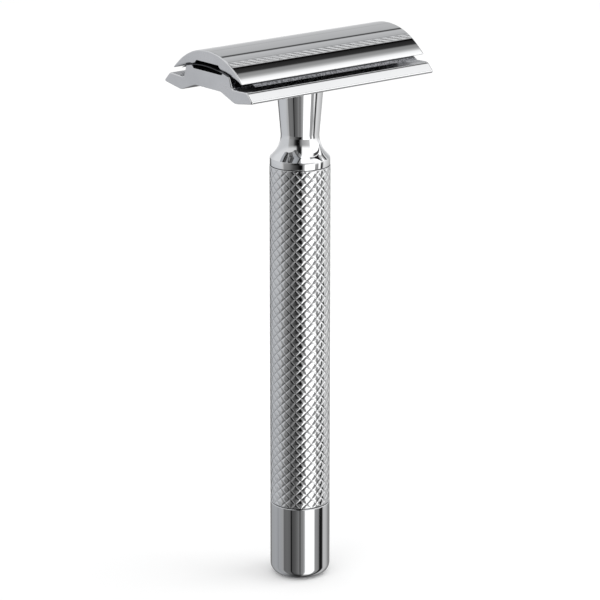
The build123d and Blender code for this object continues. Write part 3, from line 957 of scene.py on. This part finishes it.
# ---------------------------------------------------------------------------
# Camera
# ---------------------------------------------------------------------------
CAMERA_HEADING = radians(39.24)     # from +Y towards +X
CAMERA_PITCH = radians(16.71)
CAMERA_REACH = 0.48873
CAMERA_HEIGHT = 0.20027
CAMERA_LENS = 165.92
camera_data = bpy.data.cameras.new("camera")
camera_data.sensor_width = 36
camera_data.lens = CAMERA_LENS
camera_data.clip_start = 0.01
camera_data.clip_end = 100
camera = bpy.data.objects.new("camera", camera_data)
SCENE.collection.objects.link(camera)
camera.location = (-CAMERA_REACH * sin(CAMERA_HEADING), -CAMERA_REACH * cos(CAMERA_HEADING),
                   CAMERA_HEIGHT)
towards = Vector((sin(CAMERA_HEADING) * cos(CAMERA_PITCH), cos(CAMERA_HEADING) * cos(CAMERA_PITCH),
                  -sin(CAMERA_PITCH)))
camera.rotation_euler = towards.to_track_quat("-Z", "Y").to_euler()
SCENE.camera = camera


# ---------------------------------------------------------------------------
# Floor and studio
# ---------------------------------------------------------------------------
FLOOR_HALF = 12.0
floor_mesh = bpy.data.meshes.new("floor")
floor_mesh.from_pydata([(-FLOOR_HALF, -FLOOR_HALF, 0), (FLOOR_HALF, -FLOOR_HALF, 0),
                        (FLOOR_HALF, FLOOR_HALF, 0), (-FLOOR_HALF, FLOOR_HALF, 0)], [], [(0, 1, 2, 3)])
floor = bpy.data.objects.new("floor", floor_mesh)
SCENE.collection.objects.link(floor)
floor_material = bpy.data.materials.new("floor_pale")
floor_material.use_nodes = True
floor_shader = floor_material.node_tree.nodes["Principled BSDF"]
floor_shader.inputs["Base Color"].default_value = (0.93, 0.93, 0.93, 1)
floor_shader.inputs["Roughness"].default_value = 0.9
floor_shader.inputs["Specular IOR Level"].default_value = 0.1
floor_mesh.materials.append(floor_material)
floor.visible_glossy = False

SCENE.view_settings.view_transform = "Standard"
SCENE.view_settings.look = "None"


def grey(level, tint=0.0):
    """Linear colour of a studio panel that shows in the chrome at this 0 to 255 level.

    The tint moves it towards blue.
    """
    value = level / 255
    linear = value / 12.92 if value <= 0.04045 else ((value + 0.055) / 1.055) ** 2.4
    shown = linear / CHROME[1]
    return (shown * (1 - tint), shown * (1 - tint * 0.2), shown * (1 + tint))


# The studio's softboxes (bright) and flags (dark), each list as (angle in degrees, level, tint) with
# blends between the entries. First those round the razor, by azimuth from the camera, right positive.
LOW_PANELS = [
    (-180, 100), (-150, 112), (-143, 150, 0.02), (-112, 158, 0.03), (-98, 154, 0.03),
    (-95, 132, 0.03), (-92, 154, 0.03), (-68, 150), (-66, 98), (-50, 101), (-37, 90), (-36, 0),
    (-32.5, 0), (-31.5, 68), (-18, 84), (-2, 118), (-1, 20), (1, 20), (2, 116), (12, 132),
    (18, 170), (21, 262), (56, 262), (60, 142), (76, 128), (82, 30), (95, 12), (99, 130),
    (103, 185), (122, 176), (140, 124),
]
# The same a little higher, as the grip sees them.
MIDDLE_PANELS = [
    (-180, 84), (-148, 90), (-139, 158, 0.03), (-112, 164, 0.03), (-78, 168, 0.02), (-70, 162),
    (-63, 116), (-45, 106), (-25, 64), (-8, 32), (-2, 8), (7, 6), (10, 80), (18, 170), (21, 270),
    (57, 270), (60, 140), (73, 112), (77, 225), (85, 205), (88, 40), (95, 20), (99, 150),
    (103, 190), (140, 160), (180, 120),
]
# The same higher up still, in front of the razor.
FRONT_PANELS = [
    (-180, 190, 0.02), (-72, 188, 0.02), (-64, 150), (-40, 122), (-30, 60), (-20, 12), (-4, 12),
    (4, 110), (16, 150), (56, 185), (60, 262), (78, 262),
]
# And highest, where the grooves of the grip and the flare of the neck look.
HIGH_PANELS = [
    (-180, 205, 0.02), (-70, 205, 0.01), (-40, 200), (-24, 190), (-16, 60), (-6, 25), (5, 30),
    (9, 130), (14, 246), (56, 250), (80, 240),
]
# Overhead strips along the head, by angle about the head's line, from straight behind upwards.
TOP_PANELS = [
    (-180, 250), (-90, 190), (-20, 235, 0.01), (0, 200, 0.01), (8, 186, 0.01), (19.5, 182, 0.01),
    (20.5, 150, 0.01), (22, 182, 0.01), (45.5, 174, 0.01), (47, 62, 0.01), (49.8, 62, 0.01),
    (51.5, 190, 0.01), (61, 176, 0.01), (64, 180, 0.01), (65, 112, 0.01), (66.5, 214, 0.01),
    (77, 220), (78.2, 8), (81, 2), (83, 38), (90.5, 50), (92.5, 136), (98, 150), (101.5, 192),
    (104, 238), (110, 262), (121, 262), (123, 70), (133, 60), (136, 272), (150, 275), (180, 250),
]
RIB_BAND = (66.5, 77.0)          # the ribbed strip among the overhead panels, as angles
RIB_SPAN = (0.5, 0.655)          # it is ribbed between these values of the direction's x
RIB_PITCH = 0.0023               # in units of the direction's x
RIB_LEAN = -0.105                # angle in radians over which a rib moves along by its pitch
RIB_SHARE = 0.18                 # brightness left in the dark between the ribs

# Where one list gives way to the next, in degrees of elevation or of azimuth.
LOW_TO_MIDDLE = (-20.9, -20.0)
SIDE_TO_ABOVE = (-12, -7)
FRONT_TO_HIGH = (11, 27)
FRONT_LEFT = (-155, -145)
FRONT_RIGHT = (76, 86)
# The panels fade towards the ground and are a bit stronger up where the grip sees them.
GROUND_FADE = (-78, -46)
GROUND_SHARE = 0.16
GLOW_RISE = (-22, -13)
GLOW = (1.17, 1.35)
PLAIN_LIGHT = 0.98               # for every ray but the camera's and the reflections
PLAIN_BACKGROUND = 0.90          # for the camera


def studio_world():
    """World that shows its panels to reflections only; the camera and the floor see plain white."""
    world = bpy.data.worlds.new("studio")
    SCENE.world = world
    world.use_nodes = True
    n = Nodes(world.node_tree)
    direction = n.add("ShaderNodeTexCoord").outputs["Generated"]
    axes = n.add("ShaderNodeSeparateXYZ", {"Vector": direction})
    x, y, z = (axes.outputs[k] for k in range(3))
    camera_azimuth = atan2(-cos(CAMERA_HEADING), -sin(CAMERA_HEADING))
    azimuth = n.math("SUBTRACT", n.math("ARCTAN2", y, x), camera_azimuth)
    azimuth = n.math("WRAP", azimuth, pi, -pi)
    around = n.spread(azimuth, -pi, pi)
    over_angle = n.math("ARCTAN2", z, y)
    over = n.spread(over_angle, -pi, pi)
    height = n.math("ARCSINE", z)

    def panels(place, stops):
        return n.ramp(place, [((angle + 180) / 360, grey(*shade)) for angle, *shade in stops])

    def across(angle, span, to_low=0.0, to_high=1.0, smooth=False):
        return n.spread(angle, radians(span[0]), radians(span[1]), to_low, to_high, smooth)

    def within(value, low, high):
        return n.math("MULTIPLY", n.math("GREATER_THAN", value, low), n.math("LESS_THAN", value, high))

    def dimmed(colour, share):
        return n.add("ShaderNodeVectorMath", {0: colour, "Scale": share}, operation="SCALE").outputs[0]

    fade = across(height, GROUND_FADE, GROUND_SHARE, 1.0, smooth=True)
    glow = across(height, GLOW_RISE, *GLOW)
    side = n.mix(across(height, LOW_TO_MIDDLE), panels(around, LOW_PANELS),
                 panels(around, MIDDLE_PANELS))
    side = dimmed(side, n.math("MULTIPLY", fade, glow))
    front = n.mix(across(height, FRONT_TO_HIGH, smooth=True), panels(around, FRONT_PANELS),
                  panels(around, HIGH_PANELS))
    turns = n.math("ADD", n.math("DIVIDE", x, RIB_PITCH), n.math("DIVIDE", over_angle, RIB_LEAN))
    rib = n.spread(n.math("SINE", n.math("MULTIPLY", turns, 2 * pi)), -0.2, 0.8, 1.0, RIB_SHARE)
    low, high = RIB_BAND
    in_band = n.math("MULTIPLY", within(over_angle, radians(low), radians(high)), within(x, *RIB_SPAN))
    ribbed = n.math("ADD", n.math("MULTIPLY", in_band, rib), n.math("SUBTRACT", 1.0, in_band))
    top = dimmed(panels(over, TOP_PANELS), ribbed)
    in_front = n.math("MULTIPLY", across(azimuth, FRONT_LEFT, smooth=True),
                      across(azimuth, FRONT_RIGHT, 1.0, 0.0, smooth=True))
    above = n.mix(in_front, top, front)
    room = n.mix(across(height, SIDE_TO_ABOVE, smooth=True), side, above)
    path = n.add("ShaderNodeLightPath")
    shown = n.add("ShaderNodeBackground", {"Color": room, "Strength": 1.0})
    plain_light = n.spread(path.outputs["Is Camera Ray"], 0.0, 1.0, PLAIN_LIGHT, PLAIN_BACKGROUND)
    plain = n.add("ShaderNodeBackground", {"Color": (1.0, 1.0, 1.0, 1.0), "Strength": plain_light})
    glossy = n.add("ShaderNodeMixShader", {0: path.outputs["Is Glossy Ray"], 1: plain.outputs[0],
                                           2: shown.outputs[0]})
    n.add("ShaderNodeOutputWorld", {"Surface": glossy.outputs[0]})


studio_world()

LIGHT_TARGET = Vector((0, 0, 0.05))


def soft_light(name, location, size, power):
    data = bpy.data.lights.new(name, "AREA")
    data.shape = "DISK"
    data.size = size
    data.energy = power
    light = bpy.data.objects.new(name, data)
    SCENE.collection.objects.link(light)
    light.location = location
    aim = LIGHT_TARGET - Vector(location)
    light.rotation_euler = aim.to_track_quat("-Z", "Y").to_euler()
    light.visible_glossy = False


soft_light("key_softbox", (0.5, -0.35, 0.9), 0.7, 2.4)
soft_light("fill_softbox", (-0.7, -0.2, 0.6), 0.8, 1.0)
